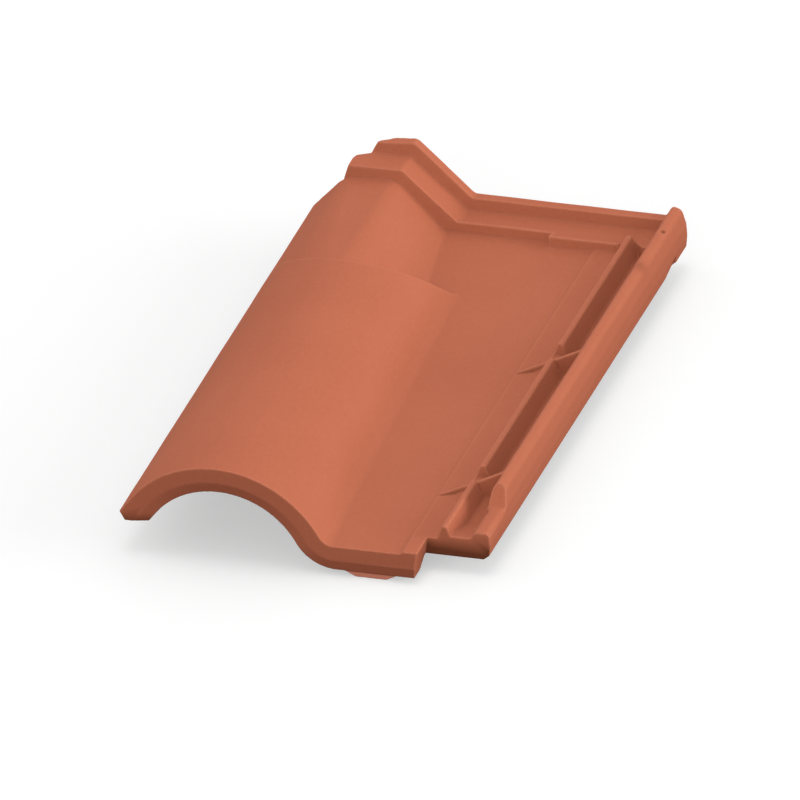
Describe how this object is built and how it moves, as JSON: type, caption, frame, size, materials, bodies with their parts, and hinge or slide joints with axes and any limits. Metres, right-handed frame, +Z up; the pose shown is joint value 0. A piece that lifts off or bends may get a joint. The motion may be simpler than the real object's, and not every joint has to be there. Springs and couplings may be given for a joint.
{
  "type": "clay roof tile",
  "caption": "Interlocking clay roof tile: an arched roll beside a flat pan, with a ribbed side lock, stepped head and drip nose, laid in overlapping courses.",
  "frame": {"origin": "middle of the tile's box at the floor that it lies on", "axes": "+Y along the tile from nose to head, +X across it from the roll to the side lock, +Z up"},
  "size_m": [0.255, 0.43, 0.0782],
  "materials": {
    "terracotta": "matt fired clay"
  },
  "bodies": {
    "root": {"roof_tile": "terracotta"}
  },
  "joints": []
}
